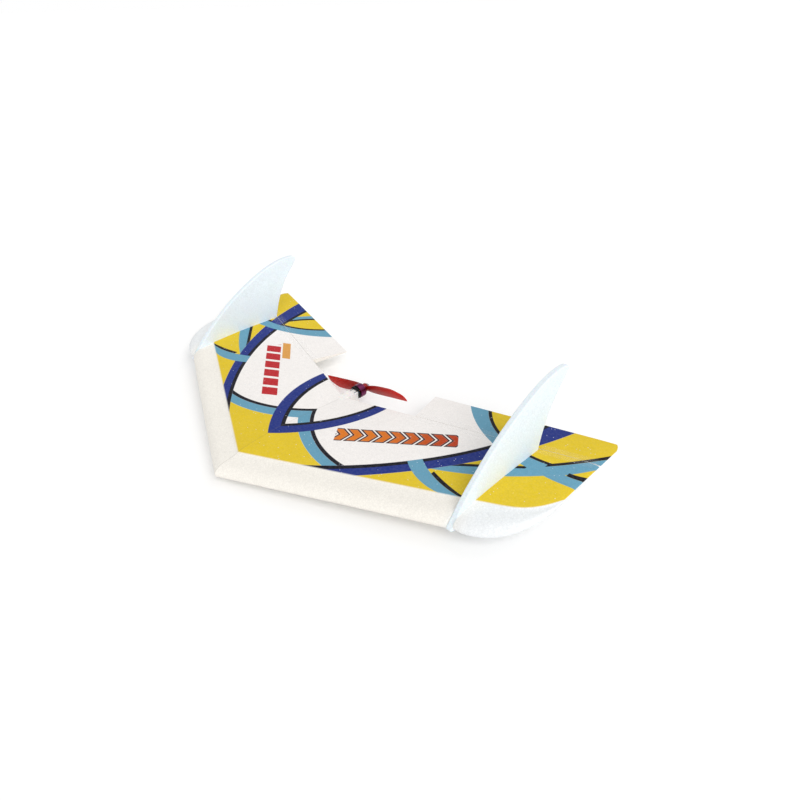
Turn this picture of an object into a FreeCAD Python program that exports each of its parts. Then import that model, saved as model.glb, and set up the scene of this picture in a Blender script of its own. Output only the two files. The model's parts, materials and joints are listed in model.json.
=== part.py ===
import FreeCAD, Part
import math
import os
from FreeCAD import Vector

# Small electric flying wing of bead foam: two glued wing panels, a flat fin near each tip,
# two elevons hinged along the trailing edge and a pusher motor in a notch between them.
# Units are millimetres.  Every piece is first drawn with its nose at the origin:
# +X out along the aircraft's left wing, +Y aft, +Z up.  Wing pieces are drawn flat,
# then tilted by the dihedral; the right-hand ones are mirrored from the left-hand ones.
# The written model has its origin on the belly plane, ORIGIN_Y behind the nose.

# ---- wing planform -----------------------------------------------------------------
SEMI_SPAN = 250.0
DIHEDRAL = 1.9               # degrees, each panel
ORIGIN_Y = 85.0
BELLY_Z = -11.5              # height of the flat belly below the drawing plane
LE_SLOPE = 0.463             # leading edge, y per x
CREASE_ROOT, CREASE_SLOPE = 26.3, 0.475
HINGE_ROOT, HINGE_SLOPE = 152.3, 0.2976
TE_ROOT, TE_SLOPE = 199.6, 0.267
TIP_CENTRE_X, TIP_CENTRE_Y, TIP_A, TIP_B = 199.0, 165.0, 51.0, 72.5   # rounded tip, an ellipse
TIP_SWEEP = 27.0             # how far the crease curves back at the tip
TE_CORNER_R = 15.5

# ---- wing section heights ----------------------------------------------------------
CREASE_Z, CREASE_DROP = 4.2, 1.4      # top at the crease, and how much lower it is at the fin
CREST_Z, CREST_DROP = 7.4, 3.8        # highest line of the top, likewise
HINGE_Z = 2.6                # top of the wing at the hinge line
HINGE_BOTTOM_Z = -3.4
TE_HALF = 0.5
CAMBER_Z = -0.4              # height that the rounded tip closes on

# ---- fin ----------------------------------------------------------------------------
FIN_X = 196.5
FIN_T = 5.6
FIN_ROUND = 1.2
FIN_EDGE = [(90.2, -9.5), (94.5, -4.5), (103.0, 5.5), (119.0, 20.5), (147.0, 42.0), (181.0, 60.8),
            (211.0, 72.0), (230.0, 75.1), (241.4, 74.7), (245.2, 73.3), (246.6, 70.8), (245.6, 67.8),
            (236.8, 57.4), (227.8, 46.0), (220.8, 34.0), (215.5, 22.0), (211.3, 9.0), (209.4, 2.6)]
FIN_FOOT = [(209.4, -3.6), (150.0, -11.2), (110.0, -12.2), (94.0, -12.0)]

# ---- elevons and their hinge -----------------------------------------------------------
HINGE_GAP = 0.15
BEVEL = 35.0                 # degrees, under the front edge of the elevon
ELEVON_END_X = 80.5          # inner end at the hinge line, cut square to the trailing edge
TAPE_T = 0.12
TAPE_HALF = 7.0

# ---- spar ------------------------------------------------------------------------------
SPAR_Y, SPAR_Z, SPAR_R, SPAR_BORE = 116.0, -3.0, 1.5, 1.0
SPAR_END = 185.0
JOINER_R, JOINER_HALF = 0.95, 40.0

# ---- motor, mount and propeller, all about an axis along Y --------------------------------
MOTOR_Z = 0.0
STICK_HALF, STICK_FRONT, STICK_BOTTOM, STICK_TOP = 4.5, 120.0, -9.6, 3.0
STICK_REAR = 169.2           # the motor and propeller are placed from here
MOUNT_R, MOUNT_T = 6.9, 1.2
BOSS_R, BOSS_BORE, BOSS_END = 2.6, 2.0, STICK_REAR + 7.8
MOUNT_SCREW_OFF, MOUNT_SCREW_R, SCREW_HEAD_R, SCREW_HEAD_T = 3.0, 0.5, 0.95, 0.6
STATOR_Y, STATOR_L, STATOR_R, TEETH = STICK_REAR + 3.1, 4.0, 5.5, 9
TOOTH_HALF, SLOT_HALF, COIL_HALF, COIL_PROUD = 0.4, 0.3, 0.95, 0.5
MAGNETS, MAGNET_R, MAGNET_HALF, BELL_BORE, BELL_R = 12, 5.7, 1.25, 6.3, 7.2
WINDOWS, WINDOW_R, WINDOW_OFF = 6, 0.95, 4.1
BELL_FRONT, BELL_REAR, BELL_PLATE = STICK_REAR + 2.4, STICK_REAR + 9.6, 1.2
SHAFT_R, SHAFT_FRONT, SHAFT_REAR = 0.75, STICK_REAR + 0.5, STICK_REAR + 19.0
SHAFT_CLEARANCE, BEARING_L = 0.02, 1.5
ADAPTER_Y, FLANGE_T, FLANGE_R = STICK_REAR + 10.4, 0.8, 3.4
SPIGOT_R, SPIGOT_REAR = 1.5, STICK_REAR + 18.6
PROP_R, PROP_Y, HUB_R, HUB_T = 63.5, STICK_REAR + 13.2, 4.6, 4.0
PROP_REST_TURN = 14.8        # degrees: the left-hand blade stands up by this much
WASHER_R, WASHER_T, NUT_FLAT, NUT_T = 3.0, 0.5, 2.75, 2.4
# blade stations: radius, chord, lower edge below the radius line, thickness
BLADE = [(3.0, 6.0, 3.0, 2.6), (8.0, 8.2, 4.3, 2.3), (16.0, 10.2, 4.9, 1.9), (26.0, 11.3, 5.2, 1.6),
         (38.0, 11.4, 5.3, 1.3), (48.0, 10.4, 5.5, 1.1), (56.0, 8.0, 5.6, 0.9),
         (61.5, 4.8, 5.6, 0.7), (PROP_R, 1.6, 5.5, 0.5)]
BLADE_PITCH = 50.0           # advance per turn
BLADE_ROOT_ANGLE = 10.0      # the blade is flatter than its pitch near the hub

# ---- electronics bay, opened from the belly ---------------------------------------------
BAY_HALF, BAY_FRONT, BAY_REAR, BAY_TOP = 24.0, 36.0, 111.0, 2.5
HATCH_HALF, HATCH_FRONT, HATCH_REAR, HATCH_T = 26.0, 30.0, 117.0, 1.6
HATCH_GAP, HATCH_CORNER_R, FINGER_R = 0.15, 3.0, 6.0
MAGNET_DISC_R, MAGNET_DISC_T, MAGNET_OFF = 2.0, 1.2, 12.0
KEEPER_Z = BELLY_Z + HATCH_T + 0.05
BATTERY = (-16.0, 43.0, -9.6, 12.0, 89.0, 1.6)
CONTROLLER = (-3.2, 91.5, -5.8, 18.0, 109.5, BAY_TOP)
RECEIVER = (-23.4, 91.5, -4.6, -4.4, 109.5, BAY_TOP)
CONNECTOR = (12.4, 62.0, -7.4, 18.8, 74.0, -2.4)
WIRE_R = 0.8
LEAD_X = 15.6                # line of the battery wires beside the pack
PLUS_Z, MINUS_Z = -4.0, -5.8
MOTOR_WIRE_Z, MOTOR_WIRE_PITCH = -0.6, 2.1

# ---- servo linkage, in a frame square to the hinge line: u along it, n aft, z up ------------
HORN_X = 95.0                # station of the horn along the span
ARM_R = 10.0                 # horn and servo arm are equally long, so the link stays parallel
LINK = 50.0
SERVO_Z = -2.0
CASE = (1.9, -5.5, -4.25, 14.0, 14.5, 4.25)
LID_U = 19.0
CASE_WALL = 1.0
ARM_HALF, HORN_HALF = 0.8, 0.6
ROD_U, ROD_R, EYE_CLEARANCE = -2.2, 0.6, 0.06
OPEN_PIVOT_CLEARANCE = 0.10
SERVO_SHAFT_R = 1.6
SERVO_WIRE_R, SERVO_WIRE_Z, SERVO_WIRE_BEND, SERVO_GATE_Z = 0.9, 1.4, 3.2, 2.6
PLUG_LEFT, PLUG_RIGHT = -7.5, -16.0
ANTENNA_R, ANTENNA_Z = 0.5, -2.0

HINGE_ANGLE = math.degrees(math.atan(HINGE_SLOPE))
FAR = 400.0


# ---- helpers ---------------------------------------------------------------------------
def box(x0, y0, z0, x1, y1, z1):
    return Part.makeBox(x1 - x0, y1 - y0, z1 - z0, Vector(x0, y0, z0))


def rod(start, end, radius):
    start, end = Vector(*start), Vector(*end)
    return Part.makeCylinder(radius, start.distanceToPoint(end), start, end - start)


def disc(y0, y1, radius, bore=0.0, x=0.0, z=MOTOR_Z):
    """A washer or drum about an axis along Y."""
    shape = rod((x, y0, z), (x, y1, z), radius)
    return shape.cut(rod((x, y0 - 1, z), (x, y1 + 1, z), bore)) if bore else shape


def prism(points, low, high):
    """An upright prism on a plan outline."""
    corners = [Vector(x, y, low) for x, y in points]
    face = Part.Face(Part.makePolygon(corners + corners[:1]))
    return face.extrude(Vector(0, 0, high - low))


def spline(points):
    curve = Part.BSplineCurve()
    curve.interpolate(points)
    return curve.toShape()


def about_motor(shape, angle):
    return shape.rotated(Vector(0, 0, MOTOR_Z), Vector(0, 1, 0), angle)


def bent_tube(points, radius, bend):
    """A round lead of straight runs joined by tangent arcs."""
    points = [Vector(*p) for p in points]
    edges = []
    start = points[0]
    for before, corner, after in zip(points, points[1:], points[2:]):
        back = (before - corner).normalize()
        ahead = (after - corner).normalize()
        half = back.getAngle(ahead) / 2
        reach = bend / math.tan(half)
        middle = (back + ahead).normalize()
        enter, leave = corner + back * reach, corner + ahead * reach
        apex = corner + middle * (bend / math.sin(half) - bend)
        edges += [Part.LineSegment(start, enter).toShape(), Part.Arc(enter, apex, leave).toShape()]
        start = leave
    edges.append(Part.LineSegment(start, points[-1]).toShape())
    path = Part.Wire(edges)
    ring = Part.Wire(Part.makeCircle(radius, points[0], points[1] - points[0]))
    return path.makePipeShell([ring], True, False, 1)


# ---- placing and writing -------------------------------------------------------------------
def tilt(shape):
    return shape.rotated(Vector(0, 0, 0), Vector(0, 1, 0), -DIHEDRAL)


def mirrored(shape):
    return shape.mirror(Vector(0, 0, 0), Vector(1, 0, 0))


def centre(shape):
    return shape.translated(Vector(0, -ORIGIN_Y, -BELLY_Z))


def left(shape):
    return centre(tilt(shape))


def right(shape):
    return mirrored(left(shape))


def write(node, shape):
    if isinstance(shape, list):
        shape = Part.makeCompound(shape)
    if len(shape.Solids) == 1:
        shape = shape.Solids[0]
    good = shape.isValid() and all(solid.Volume > 0 for solid in shape.Solids)
    size = shape.BoundBox
    print("%-22s solids %2d  valid %s  volume %9.1f  z %7.2f .. %6.2f" % (
        node, len(shape.Solids), good, shape.Volume, size.ZMin, size.ZMax))
    shape.exportStep("parts/%s.step" % node)


def write_pair(name, shape):
    if isinstance(shape, list):
        shape = Part.makeCompound(shape)
    write(name + "_left", left(shape))
    write(name + "_right", right(shape))


# ---- wing surface ----------------------------------------------------------------------------
def hinge_y(x):
    return HINGE_ROOT + HINGE_SLOPE * x


def te_y(x):
    return TE_ROOT + TE_SLOPE * x


def tip_fraction(x):
    return max(0.0, (x - TIP_CENTRE_X) / TIP_A)


def section(x, nose_y, crease_y, fullness):
    """Closed wing section in the plane at x; fullness shrinks it towards the rounded tip."""
    share = min(x, FIN_X) / FIN_X
    hinge, tail = hinge_y(x), te_y(x)
    crease_z = CREASE_Z - CREASE_DROP * share
    crest_z = CREST_Z - CREST_DROP * share
    crest_y = crease_y + (hinge - crease_y) * (0.24 + 0.14 * share)
    shoulder_y = crest_y + 0.62 * (hinge - crest_y)
    shoulder_z = HINGE_Z + 0.56 * (crest_z - HINGE_Z)
    depth = hinge - nose_y

    def at(y, z):
        return Vector(x, y, CAMBER_Z + (z - CAMBER_Z) * fullness)

    nose = [at(nose_y + 4.5, -10.7), at(nose_y + 0.9, -9.2), at(nose_y, -6.6), at(nose_y + 2.4, -2.4),
            at(nose_y + 0.4 * (crease_y - nose_y), 1.1), at(crease_y, crease_z)]
    top = [at(crease_y, crease_z), at((crease_y + crest_y) / 2, 0.32 * crease_z + 0.68 * crest_z),
           at(crest_y, crest_z), at(shoulder_y, shoulder_z), at(hinge, HINGE_Z)]
    bottom = [at(hinge, HINGE_BOTTOM_Z), at(nose_y + 0.66 * depth, -8.6),
              at(nose_y + 0.36 * depth, -10.8), at(nose_y + 4.5, -10.7)]
    tail_line = [at(hinge, HINGE_Z), at(tail, TE_HALF), at(tail, -TE_HALF), at(hinge, HINGE_BOTTOM_Z)]
    edges = [spline(nose), spline(top)]
    edges += [Part.LineSegment(a, b).toShape() for a, b in zip(tail_line, tail_line[1:])]
    return Part.Wire(edges + [spline(bottom)])


def inner_section(x):
    return section(x, LE_SLOPE * x, CREASE_ROOT + CREASE_SLOPE * x, 1.0)


def outer_section(x):
    u = tip_fraction(x)
    nose_y = TIP_CENTRE_Y - TIP_B * math.sqrt(1 - u * u)
    crease_y = CREASE_ROOT + CREASE_SLOPE * x + TIP_SWEEP * u ** 5
    return section(x, nose_y, crease_y, math.sqrt(1 - u ** 4))


def inner_wing():
    return Part.makeLoft([inner_section(-4.0), inner_section(FIN_X)], True, True)


def outer_wing():
    stations = [FIN_X - 0.5, 206.0, 214.0, 222.0, 229.0, 235.0, 240.0, 244.0, 247.0, 249.0, 249.9]
    return Part.makeLoft([outer_section(x) for x in stations], True, True)


def strip(x0, x1, n0, n1, low, high):
    """Prism that follows the hinge line from x0 to x1, n0 to n1 behind it."""
    across = math.cos(math.radians(HINGE_ANGLE))
    plan = [(x0, hinge_y(x0) + n0 / across), (x1, hinge_y(x1) + n0 / across),
            (x1, hinge_y(x1) + n1 / across), (x0, hinge_y(x0) + n1 / across)]
    return prism(plan, low, high)


def on_hinge(shape):
    """From the linkage frame (u, n, z above the hinge axis) to the wing."""
    turned = shape.rotated(Vector(0, 0, 0), Vector(0, 0, 1), HINGE_ANGLE)
    return turned.translated(Vector(HORN_X, hinge_y(HORN_X), HINGE_Z))


def on_servo(shape):
    """From the servo frame (u, n, z above the servo axis) to the wing."""
    return on_hinge(shape.translated(Vector(0, -LINK, SERVO_Z - HINGE_Z)))


INNER, OUTER = inner_wing(), outer_wing()
FIN_IN, FIN_OUT = FIN_X - FIN_T / 2, FIN_X + FIN_T / 2
FRONT_OF_HINGE = strip(-60, 300, -FAR, -HINGE_GAP, -60, 60)


# ---- pieces inside the wing ------------------------------------------------------------------
def servo_wire(side, plug_x, radius):
    """Lead from a servo to the receiver, buried in the foam behind the bay."""
    gate = tilt(on_servo(Part.Vertex(8.0, CASE[1], SERVO_GATE_Z))).Point
    behind = BAY_REAR + 2.4
    route = [(side * gate.x, gate.y, gate.z), (side * (gate.x - 6.0), gate.y - 8.0, gate.z),
             (side * 34.0, behind, SERVO_WIRE_Z), (plug_x, behind, SERVO_WIRE_Z),
             (plug_x, RECEIVER[4], SERVO_WIRE_Z)]
    block = tilt(on_servo(box(*CASE)))
    return bent_tube(route, radius, SERVO_WIRE_BEND).cut([block, mirrored(block)])


def cavity_electronics():
    bay = box(-BAY_HALF, BAY_FRONT, -30, BAY_HALF, BAY_REAR, BAY_TOP)
    rebate = box(-HATCH_HALF - HATCH_GAP, HATCH_FRONT - HATCH_GAP, -30, HATCH_HALF + HATCH_GAP,
                 HATCH_REAR + HATCH_GAP, KEEPER_Z)
    stick = box(-STICK_HALF, STICK_FRONT, -30, STICK_HALF, STICK_REAR + 5, STICK_TOP)
    wires = box(-3.1, BAY_REAR - 1, MOTOR_WIRE_Z - 0.85, 3.1, STICK_FRONT + 1, MOTOR_WIRE_Z + 0.85)
    joiner = spar_joiner(JOINER_R + 0.05)
    return [bay, rebate, stick, wires, joiner] + keeper_discs(KEEPER_Z)


def antenna(radius):
    """Aerial wire held straight in a slit of the right-hand panel."""
    return rod((RECEIVER[0], 100.0, ANTENNA_Z), (RECEIVER[0] - 58.0, 100.0, ANTENNA_Z), radius)


def keeper_discs(z):
    places = [(x, y) for x in (-MAGNET_OFF, MAGNET_OFF)
              for y in ((HATCH_FRONT + BAY_FRONT) / 2, (BAY_REAR + HATCH_REAR) / 2)]
    return [Part.makeCylinder(MAGNET_DISC_R, MAGNET_DISC_T, Vector(x, y, z)) for x, y in places]


def spar_joiner(radius):
    """A bent pin that reaches into both spar tubes."""
    half = tilt(rod((-3, SPAR_Y, SPAR_Z), (JOINER_HALF, SPAR_Y, SPAR_Z), radius))
    half = half.common(box(0, 0, -60, FAR, FAR, 60))
    return half.fuse(mirrored(half))


def cavity_panel():
    """Spaces in one wing panel, drawn in that panel."""
    spar = rod((2, SPAR_Y, SPAR_Z), (SPAR_END, SPAR_Y, SPAR_Z), SPAR_R)
    servo = box(CASE[0] - 1.0, CASE[1], CASE[2], LID_U, CASE[4], CASE[5])
    slot = box(-4.4, -7.5, -30, CASE[0] - 1.0, 7.5, 3.4)
    return [spar, on_servo(servo), on_servo(slot)]


def wing_panel():
    panel = INNER.common(FRONT_OF_HINGE)
    panel = panel.common(box(-10, -20, -60, FIN_IN, FAR, 60)).cut(cavity_panel())
    return tilt(panel).common(box(0, -20, -60, FAR, FAR, 60)).cut(cavity_electronics())


def wingtip():
    tip = OUTER.common(FRONT_OF_HINGE)
    return tip.common(box(FIN_OUT, -20, -60, FAR, FAR, 60))


def fin():
    rim = [Vector(FIN_IN, y, z) for y, z in FIN_EDGE]
    foot = [Vector(FIN_IN, y, z) for y, z in FIN_FOOT]
    edges = [spline(rim), Part.LineSegment(rim[-1], foot[0]).toShape(), spline(foot),
             Part.LineSegment(foot[-1], rim[0]).toShape()]
    plate = Part.Face(Part.Wire(edges)).extrude(Vector(FIN_T, 0, 0))
    rims = [edge for edge in plate.Edges if is_fin_rim(edge)]
    return plate.makeFillet(FIN_ROUND, rims)


def is_fin_rim(edge):
    """An edge of the long curved rim, which is sanded round."""
    return edge.BoundBox.XLength < 0.01 and edge.BoundBox.ZLength > 50.0


def elevon():
    whole = INNER.fuse(OUTER.common(box(FIN_X, -20, -60, FAR, FAR, 60)))
    blank = whole.common(strip(40, 300, HINGE_GAP, FAR, -60, 60))
    te_angle = math.degrees(math.atan(TE_SLOPE))
    inner_cut = box(-FAR, -FAR, -60, 0, FAR, 60).rotated(Vector(0, 0, 0), Vector(0, 0, 1), te_angle)
    inner_cut = inner_cut.translated(Vector(ELEVON_END_X, hinge_y(ELEVON_END_X), 0))
    bevel_plan = [Vector(0, 0, 0), Vector(0, -FAR, 0), Vector(0, -FAR, -60),
                  Vector(0, 60 * math.tan(math.radians(BEVEL)), -60)]
    bevel = Part.Face(Part.makePolygon(bevel_plan + bevel_plan[:1])).extrude(Vector(2 * FAR, 0, 0))
    bevel = on_hinge(bevel.translated(Vector(-FAR, HINGE_GAP, -0.4)))
    return blank.cut([inner_cut, bevel, corner_waste()]).removeSplitter()


def corner_waste():
    """What is cut away outside the rounded trailing corner of the tip."""
    te_angle = math.atan(TE_SLOPE)
    corner = Vector(SEMI_SPAN, te_y(SEMI_SPAN), 0)
    turn = math.pi / 2 + te_angle
    reach = TE_CORNER_R / math.tan(turn / 2)
    arc_centre = corner + Vector(-TE_CORNER_R, -reach, 0)
    waste = prism([(corner.x, arc_centre.y), (corner.x + 5, arc_centre.y), (corner.x + 5, corner.y + 8),
                   (corner.x - reach * math.cos(te_angle), corner.y + 8),
                   (corner.x - reach * math.cos(te_angle), corner.y - reach * math.sin(te_angle)),
                   (arc_centre.x, arc_centre.y)], -30, 30)
    return waste.cut(Part.makeCylinder(TE_CORNER_R, 60, Vector(arc_centre.x, arc_centre.y, -30)))


def hinge_tape():
    """Clear tape over the hinge line, in the lengths each side of the fin."""
    pieces = []
    for body, x0, x1 in ((INNER, ELEVON_END_X + 2, FIN_IN - 0.3), (OUTER, FIN_OUT + 0.3, 246.0)):
        skin = body.translated(Vector(0, 0, TAPE_T)).cut(body)
        pieces.append(skin.common(strip(x0, x1, -TAPE_HALF, TAPE_HALF, 0.0, 30)))
    return pieces


# ---- linkage --------------------------------------------------------------------------------
def lever(half, length, hub_r, tip_r):
    """Flat lever hanging from the origin, from u -half to +half."""
    outline = [Vector(-half, -hub_r, 0), Vector(-half, hub_r, 0), Vector(-half, tip_r, -length),
               Vector(-half, -tip_r, -length)]
    web = Part.Face(Part.makePolygon(outline + outline[:1])).extrude(Vector(2 * half, 0, 0))
    hub = rod((-half, 0, 0), (half, 0, 0), hub_r)
    tip = rod((-half, 0, -length), (half, 0, -length), tip_r)
    return web.fuse([hub, tip]).removeSplitter()


def eye(length, radius):
    return rod((-10, 0, -length), (10, 0, -length), radius)


def servo_arm():
    arm = lever(ARM_HALF, ARM_R, 2.4, 1.6).cut(eye(ARM_R, ROD_R + EYE_CLEARANCE))
    spare = eye(ARM_R - 3.4, 0.5)
    return on_servo(arm.cut([spare, rod((-5, 0, 0), (5, 0, 0), 0.7)]))


def servo_shaft():
    shaft = rod((ARM_HALF, 0, 0), (CASE[0] + 5.0, 0, 0), SERVO_SHAFT_R)
    return on_servo(shaft.cut(rod((ARM_HALF - 1, 0, 0), (ARM_HALF + 3.0, 0, 0), 0.7)))


def servo_arm_screw():
    head = rod((-ARM_HALF - 0.8, 0, 0), (-ARM_HALF, 0, 0), 1.3)
    shank = rod((-ARM_HALF, 0, 0), (ARM_HALF + 2.5, 0, 0), 0.7)
    slot = box(-ARM_HALF - 1, -0.15, -2, -ARM_HALF - 0.4, 0.15, 2)
    return on_servo(head.fuse(shank).cut(slot))


def servo_case():
    u0, n0, z0, u1, n1, z1 = CASE
    shell = box(u0, n0, z0, u1, n1, z1)
    inside = box(u0 + CASE_WALL, n0 + CASE_WALL, z0 + CASE_WALL, u1 + 1, n1 - CASE_WALL, z1 - CASE_WALL)
    boss = rod((u0 - 0.8, 0, 0), (u0 + CASE_WALL, 0, 0), 2.8)
    bore = rod((u0 - 2, 0, 0), (u0 + 3, 0, 0), SERVO_SHAFT_R + 0.05)
    return on_servo(shell.cut(inside).fuse(boss).cut(bore))


def servo_lid():
    u1, n0, z0 = CASE[3], CASE[1], CASE[2]
    lid = box(u1, n0, z0, LID_U, CASE[4], CASE[5])
    inside = box(u1 - 1, n0 + CASE_WALL, z0 + CASE_WALL, LID_U - CASE_WALL, CASE[4] - CASE_WALL,
                 CASE[5] - CASE_WALL)
    return on_servo(lid.cut(inside))


def pushrod():
    """Wire link with both ends bent through the eyes."""
    front = Vector(ROD_U, -LINK, SERVO_Z - HINGE_Z - ARM_R)
    rear = Vector(ROD_U, 0, -ARM_R)
    pieces = [rod(tuple(front), tuple(rear), ROD_R)]
    for corner, half in ((front, ARM_HALF), (rear, HORN_HALF)):
        pieces.append(Part.makeSphere(ROD_R, corner))
        pieces.append(rod(tuple(corner), (half + 0.7, corner.y, corner.z), ROD_R))
    return on_hinge(pieces[0].fuse(pieces[1:]).removeSplitter())


def control_horn(elevon_solid):
    """Thin horn with a foot glued under the elevon, its eye below the hinge axis."""
    outline = [Vector(-HORN_HALF, -1.6, -ARM_R - 0.6), Vector(-HORN_HALF, 1.6, -ARM_R - 1.0),
               Vector(-HORN_HALF, 13.5, -4.0), Vector(-HORN_HALF, 6.0, -4.0)]
    web = Part.Face(Part.makePolygon(outline + outline[:1])).extrude(Vector(2 * HORN_HALF, 0, 0))
    tip = rod((-HORN_HALF, 0, -ARM_R), (HORN_HALF, 0, -ARM_R), 1.7)
    foot = box(-3.5, 5.5, -6.6, 3.5, 14.5, -3.0)
    horn = web.fuse([tip, foot]).cut(eye(ARM_R, ROD_R + OPEN_PIVOT_CLEARANCE))
    return on_hinge(horn).cut(elevon_solid)


# ---- power train ------------------------------------------------------------------------------
def motor_stick(wires):
    stick = box(-STICK_HALF, STICK_FRONT, STICK_BOTTOM, STICK_HALF, STICK_REAR, STICK_TOP)
    ream = [rod((x, STICK_REAR - 5, z), (x, STICK_REAR + 1, z), MOUNT_SCREW_R) for x, z in screw_places()]
    return stick.cut(ream + wires)


def screw_places():
    off = MOUNT_SCREW_OFF
    return [(x, MOTOR_Z + z) for x in (-off, off) for z in (-off, off)]


def motor_mount():
    plate = disc(STICK_REAR, STICK_REAR + MOUNT_T, MOUNT_R)
    boss = disc(STICK_REAR, BOSS_END, BOSS_R)
    holes = [rod((x, STICK_REAR - 1, z), (x, STICK_REAR + 3, z), MOUNT_SCREW_R) for x, z in screw_places()]
    return plate.fuse(boss).cut([disc(STICK_REAR - 1, BOSS_END + 1, BOSS_BORE)] + holes)


def mount_screws():
    rear = STICK_REAR + MOUNT_T
    screws = []
    for x, z in screw_places():
        head = rod((x, rear, z), (x, rear + SCREW_HEAD_T, z), SCREW_HEAD_R)
        screw = head.fuse(rod((x, rear - 5.5, z), (x, rear, z), MOUNT_SCREW_R))
        screws.append(screw.cut(box(x - 2, rear + 0.35, z - 0.12, x + 2, rear + 2, z + 0.12)))
    return screws


def tooth(y0, y1, inner, outer, half):
    """A bar along +X, from inner to outer off the motor's axis."""
    return box(inner, y0, MOTOR_Z - half, outer, y1, MOTOR_Z + half)


def stator():
    """Iron stack with T-shaped teeth."""
    rear = STATOR_Y + STATOR_L
    core = disc(STATOR_Y, rear, BOSS_R + 0.8)
    ring = disc(STATOR_Y, rear, STATOR_R, STATOR_R - 0.5)
    slot = tooth(STATOR_Y - 1, rear + 1, STATOR_R - 1, STATOR_R + 1, SLOT_HALF)
    web = tooth(STATOR_Y, rear, BOSS_R, STATOR_R - 0.25, TOOTH_HALF)
    slots = [about_motor(slot, (i + 0.5) * 360 / TEETH) for i in range(TEETH)]
    webs = [about_motor(web, i * 360 / TEETH) for i in range(TEETH)]
    return core.fuse(webs + [ring.cut(slots)]).cut(disc(STATOR_Y - 1, rear + 1, BOSS_R))


def windings():
    rear = STATOR_Y + STATOR_L
    coil = tooth(STATOR_Y - COIL_PROUD, rear + COIL_PROUD, BOSS_R + 0.9, STATOR_R - 0.72, COIL_HALF)
    radial = [e for e in coil.Edges if abs(e.Vertexes[0].X - e.Vertexes[1].X) > 0.5]
    coil = coil.makeFillet(0.3, radial).cut(tooth(STATOR_Y, rear, BOSS_R, STATOR_R, TOOTH_HALF))
    return [about_motor(coil, i * 360 / TEETH) for i in range(TEETH)]


def bearings():
    bore = SHAFT_R + SHAFT_CLEARANCE
    front = STICK_REAR + 1.4
    return [disc(y, y + BEARING_L, BOSS_BORE, bore) for y in (front, BOSS_END - BEARING_L)]


def bell():
    can = disc(BELL_FRONT, BELL_REAR, BELL_R, BELL_BORE)
    can = can.fuse(disc(BELL_REAR - BELL_PLATE, BELL_REAR, BELL_R))
    can = can.fuse(disc(BELL_REAR - BELL_PLATE - 0.2, ADAPTER_Y, 2.2))
    window = disc(BELL_REAR - 2, BELL_REAR + 1, WINDOW_R, 0.0, WINDOW_OFF)
    windows = [about_motor(window, i * 360 / WINDOWS) for i in range(WINDOWS)]
    rim = [e for e in can.Edges if abs(e.BoundBox.YMin - BELL_REAR) < 0.01
           and e.BoundBox.YLength < 0.01 and abs(e.BoundBox.XMax - BELL_R) < 0.01]
    can = can.makeFillet(0.6, rim)
    return can.cut(windows + [disc(BELL_FRONT, SHAFT_REAR, SHAFT_R)])


def magnets():
    ring = disc(STATOR_Y, STATOR_Y + STATOR_L, BELL_BORE, MAGNET_R)
    wedge = tooth(STATOR_Y - 1, STATOR_Y + STATOR_L + 1, 0, 10, MAGNET_HALF)
    return [ring.common(about_motor(wedge, i * 360 / MAGNETS)) for i in range(MAGNETS)]


def blade():
    """One twisted blade along +X from the hub, its upper edge leading and forward."""
    wires = []
    for radius, chord, lower, thick in BLADE:
        angle = min(math.radians(BLADE_ROOT_ANGLE), math.atan2(BLADE_PITCH, 2 * math.pi * radius))
        along = Vector(0, -math.sin(angle), math.cos(angle))
        normal = Vector(0, -math.cos(angle), -math.sin(angle))
        start = Vector(radius, PROP_Y, MOTOR_Z) - along * lower

        def at(share, rise):
            return start + along * (chord * share) + normal * (thick * rise)

        face = spline([at(0, 0), at(0.3, -0.30), at(0.7, -0.34), at(1, 0)])
        back = spline([at(1, 0), at(0.72, 0.62), at(0.35, 0.52), at(0, 0)])
        wires.append(Part.Wire([face, back]))
    return Part.makeLoft(wires, True, False)


def propeller():
    one = blade()
    hub = disc(PROP_Y - HUB_T / 2, PROP_Y + HUB_T / 2, HUB_R)
    whole = hub.fuse([one, about_motor(one, 180)])
    whole = whole.cut([disc(PROP_Y - 10, PROP_Y + 10, SPIGOT_R)])
    return about_motor(whole, -PROP_REST_TURN)


def adapter():
    flange = disc(ADAPTER_Y, ADAPTER_Y + FLANGE_T, FLANGE_R)
    spigot = disc(ADAPTER_Y, SPIGOT_REAR, SPIGOT_R)
    return flange.fuse(spigot).cut(disc(ADAPTER_Y - 1, SPIGOT_REAR + 1, SHAFT_R))


def hex_nut(y0, y1, flat, bore):
    r = flat / math.cos(math.pi / 6)
    corners = [Vector(r * math.cos(i * math.pi / 3), y0, MOTOR_Z + r * math.sin(i * math.pi / 3))
               for i in range(6)]
    body = Part.Face(Part.makePolygon(corners + corners[:1])).extrude(Vector(0, y1 - y0, 0))
    return body.cut(disc(y0 - 1, y1 + 1, bore))


# ---- electronics --------------------------------------------------------------------------------
def rounded_box(bounds, radius):
    block = box(*bounds)
    return block.makeFillet(radius, block.Edges)


def battery_wires():
    """Two wires that leave the front of the pack and turn back beside it."""
    leads = []
    exit_x = LEAD_X - 8.5
    front = BATTERY[1] - 0.6
    for z in (PLUS_Z, MINUS_Z):
        route = [(exit_x, BATTERY[1], z), (exit_x, front - 4.25, z), (LEAD_X, front - 4.25, z),
                 (LEAD_X, CONNECTOR[1], z)]
        leads.append(bent_tube(route, WIRE_R, 4.2))
    return leads


def controller_wires():
    return [rod((LEAD_X, CONNECTOR[4], z), (LEAD_X, CONTROLLER[1], z), WIRE_R) for z in (PLUS_Z, MINUS_Z)]


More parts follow.
